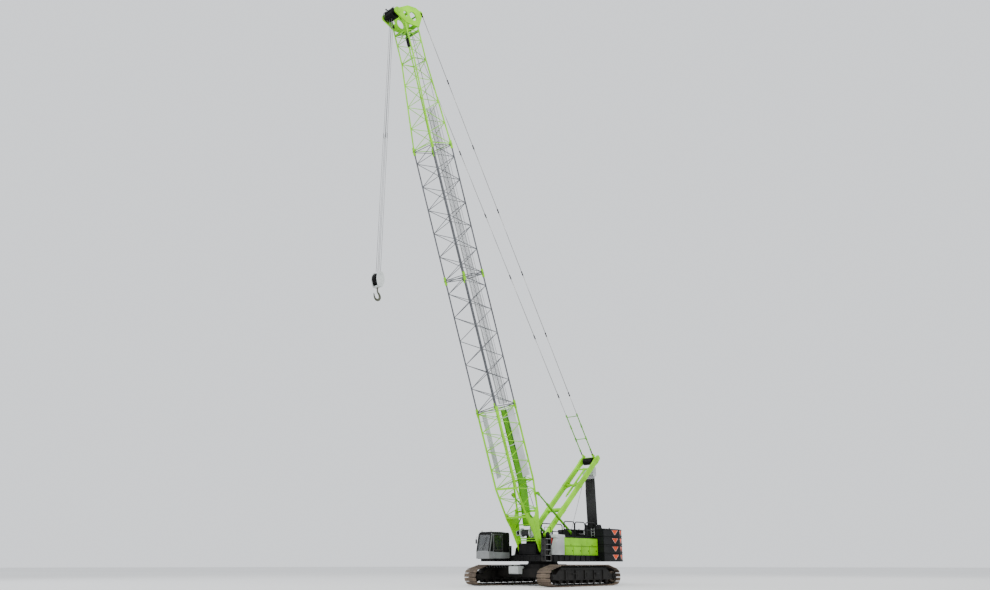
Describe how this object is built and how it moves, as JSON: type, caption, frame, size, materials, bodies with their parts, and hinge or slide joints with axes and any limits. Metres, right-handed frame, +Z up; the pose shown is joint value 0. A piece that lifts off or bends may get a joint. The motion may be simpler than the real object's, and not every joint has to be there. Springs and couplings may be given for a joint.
{
  "type": "crawler crane",
  "caption": "Crawler crane with a lattice boom, a live mast with rope luffing gear, side housings, stacked counterweight, a cab and a hook block.",
  "frame": {"origin": "on the ground under the slewing centre, midway between the tracks", "axes": "+Z up; the boom and the tracks point along -Y, so +X is the machine's left-hand side and the cab is at -X"},
  "size_m": [7.06, 22.822, 37.352],
  "materials": {
    "ballast": "cast iron, dark grey paint",
    "black": "black satin paint, dusty",
    "boom_grey": "dark grey satin paint",
    "cloth": "black woven seat cloth",
    "glass": "dark tinted window glass",
    "green": "lime green gloss paint, dusty",
    "grey_paint": "mid grey satin paint",
    "pale_grey": "pale grey satin paint",
    "rope": "dark greased wire rope",
    "shoe": "worn cast steel with dry mud and light rust",
    "steel": "greased steel rope on the drum"
  },
  "bodies": {
    "undercarriage": {"carbody": "black", "slew_ring": "black", "left_track": "shoe", "right_track": "shoe", "left_track_frame": "black", "right_track_frame": "black", "left_sprocket": "black", "right_sprocket": "black", "left_idler": "black", "right_idler": "black"},
    "upperworks": {"upper_frame": "black", "engine": "black", "left_housing": "green", "right_housing": "green", "left_louvre_panel": "pale_grey", "counterweight_base": "ballast", "left_counterweight_1": "ballast", "left_counterweight_2": "ballast", "left_counterweight_3": "ballast", "right_counterweight_1": "ballast", "right_counterweight_2": "ballast", "right_counterweight_3": "ballast", "left_handrail": "black", "right_handrail": "black", "deck_ladder": "black", "cab_bracket": "black", "cab_shell": "grey_paint", "windscreen": "glass", "cab_side_glass": "glass", "cab_rear_glass": "glass", "cab_seat": "cloth", "luffing_block": "black"},
    "hoist_drum": {"hoist_drum": "pale_grey"},
    "luffing_drum": {"luffing_drum": "steel"},
    "cab_door": {"cab_door": "grey_paint", "cab_door_glass": "glass"},
    "boom": {"boom_base": "green", "boom_insert_1": "boom_grey", "boom_insert_2": "boom_grey", "boom_top": "green"},
    "head_sheaves": {"head_sheaves": "black"},
    "mast": {"mast": "green"},
    "mast_sheaves": {"mast_sheaves": "black"},
    "pendants": {"pendants": "green"},
    "luffing_ropes_lower": {"luffing_ropes_lower": "rope"},
    "luffing_ropes_middle": {"luffing_ropes_middle": "rope"},
    "luffing_ropes_upper": {"luffing_ropes_upper": "rope"},
    "backstop_tubes": {"backstop_tubes": "green"},
    "backstop_rods": {"backstop_rods": "green"},
    "hoist_ropes": {"hoist_ropes_upper": "rope"},
    "hook_block": {"hook_block": "pale_grey", "hoist_ropes_lower": "rope"},
    "hook_sheaves": {"hook_sheaves": "black"},
    "hook": {"hook": "black"},
    "left_door_1": {"left_door_1": "green"},
    "left_door_2": {"left_door_2": "green"},
    "left_door_3": {"left_door_3": "green"},
    "left_door_4": {"left_door_4": "green"},
    "right_door_1": {"right_door_1": "green"},
    "right_door_2": {"right_door_2": "green"}
  },
  "joints": [
    {"name": "upper_slew", "type": "hinge", "parent": "undercarriage", "child": "upperworks", "pos_m": [0, 0, 1.5], "axis": [0, 0, 1], "continuous": true},
    {"name": "boom_luff", "type": "hinge", "parent": "upperworks", "child": "boom", "pos_m": [0, -1.27, 2.2], "axis": [-1, 0, 0], "range_deg": [-37, 10]},
    {"name": "mast_luff", "type": "hinge", "parent": "upperworks", "child": "mast", "pos_m": [0, -0.45, 3.15], "axis": [-1, 0, 0], "range_deg": [-42.91, 11.96]},
    {"name": "pendant_swing", "type": "hinge", "parent": "boom", "child": "pendants", "pos_m": [0, -13.29521, 37.19742], "axis": [-1, 0, 0], "range_deg": [-0.57, 0.74]},
    {"name": "luffing_rope_swing", "type": "hinge", "parent": "upperworks", "child": "luffing_ropes_lower", "pos_m": [0, 6, 2.5], "axis": [-1, 0, 0], "range_deg": [-31.19, 8.79]},
    {"name": "luffing_rope_pay_out_1", "type": "slide", "parent": "luffing_ropes_lower", "child": "luffing_ropes_middle", "axis": [0, -0.0398, 0.9992], "range_m": [-0.595, 2.198]},
    {"name": "luffing_rope_pay_out_2", "type": "slide", "parent": "luffing_ropes_middle", "child": "luffing_ropes_upper", "axis": [0, -0.0398, 0.9992], "range_m": [-0.595, 2.198]},
    {"name": "backstop_swing", "type": "hinge", "parent": "upperworks", "child": "backstop_tubes", "pos_m": [0, 1.8, 3.32], "axis": [-1, 0, 0], "range_deg": [-20.69, 5.96]},
    {"name": "backstop_extend", "type": "slide", "parent": "backstop_tubes", "child": "backstop_rods", "axis": [0, -0.8278, 0.561], "range_m": [-0.414, 1.528]},
    {"name": "hoist_rope_swing", "type": "hinge", "parent": "boom", "child": "hoist_ropes", "pos_m": [0, -15.30009, 36.1987], "axis": [-1, 0, 0], "range_deg": [-10.5, 37.5]},
    {"name": "hook_hoist", "type": "slide", "parent": "hoist_ropes", "child": "hook_block", "axis": [0, 0, 1], "range_m": [0, 8.6]},
    {"name": "hook_swivel", "type": "hinge", "parent": "hook_block", "child": "hook", "pos_m": [0, -15.30009, 16.75], "axis": [0, 0, 1], "continuous": true},
    {"name": "head_sheave_spin", "type": "hinge", "parent": "boom", "child": "head_sheaves", "pos_m": [0, -15.30009, 36.1987], "axis": [-1, 0, 0], "continuous": true},
    {"name": "mast_sheave_spin", "type": "hinge", "parent": "mast", "child": "mast_sheaves", "pos_m": [0, 5.75742, 8.58419], "axis": [-1, 0, 0], "continuous": true},
    {"name": "hook_sheave_spin", "type": "hinge", "parent": "hook_block", "child": "hook_sheaves", "pos_m": [0, -15.30009, 17.3], "axis": [-1, 0, 0], "continuous": true},
    {"name": "hoist_drum_spin", "type": "hinge", "parent": "upperworks", "child": "hoist_drum", "pos_m": [0, 0.42, 2.5], "axis": [-1, 0, 0], "continuous": true},
    {"name": "luffing_drum_spin", "type": "hinge", "parent": "upperworks", "child": "luffing_drum", "pos_m": [0, 3, 2.45], "axis": [-1, 0, 0], "continuous": true},
    {"name": "cab_door_slide", "type": "slide", "parent": "upperworks", "child": "cab_door", "axis": [0, 1, 0], "range_m": [0, 0.68]},
    {"name": "left_door_1_hinge", "type": "hinge", "parent": "upperworks", "child": "left_door_1", "pos_m": [1.5143, 0.492, 2.2], "axis": [0, 0, -1], "range_deg": [0, 100]},
    {"name": "left_door_2_hinge", "type": "hinge", "parent": "upperworks", "child": "left_door_2", "pos_m": [1.5143, 1.427, 2.2], "axis": [0, 0, -1], "range_deg": [0, 100]},
    {"name": "left_door_3_hinge", "type": "hinge", "parent": "upperworks", "child": "left_door_3", "pos_m": [1.5143, 2.362, 2.2], "axis": [0, 0, -1], "range_deg": [0, 100]},
    {"name": "left_door_4_hinge", "type": "hinge", "parent": "upperworks", "child": "left_door_4", "pos_m": [1.5143, 3.297, 2.2], "axis": [0, 0, -1], "range_deg": [0, 100]},
    {"name": "right_door_1_hinge", "type": "hinge", "parent": "upperworks", "child": "right_door_1", "pos_m": [-1.5143, 0.492, 2.2], "axis": [0, 0, 1], "range_deg": [0, 100]},
    {"name": "right_door_2_hinge", "type": "hinge", "parent": "upperworks", "child": "right_door_2", "pos_m": [-1.5143, 2.362, 2.2], "axis": [0, 0, 1], "range_deg": [0, 100]}
  ],
  "couplings": [
    {"joint": "mast_luff", "follows": "boom_luff", "ratio": 1.1461},
    {"joint": "pendant_swing", "follows": "boom_luff", "ratio": -0.00657},
    {"joint": "luffing_rope_swing", "follows": "boom_luff", "ratio": 0.82942},
    {"joint": "luffing_rope_pay_out_1", "follows": "boom_luff", "m_per_rad": -3.4},
    {"joint": "luffing_rope_pay_out_2", "follows": "boom_luff", "m_per_rad": -3.4},
    {"joint": "backstop_swing", "follows": "boom_luff", "ratio": 0.54563},
    {"joint": "backstop_extend", "follows": "boom_luff", "m_per_rad": -2.3631},
    {"joint": "hoist_rope_swing", "follows": "boom_luff", "ratio": -1}
  ]
}
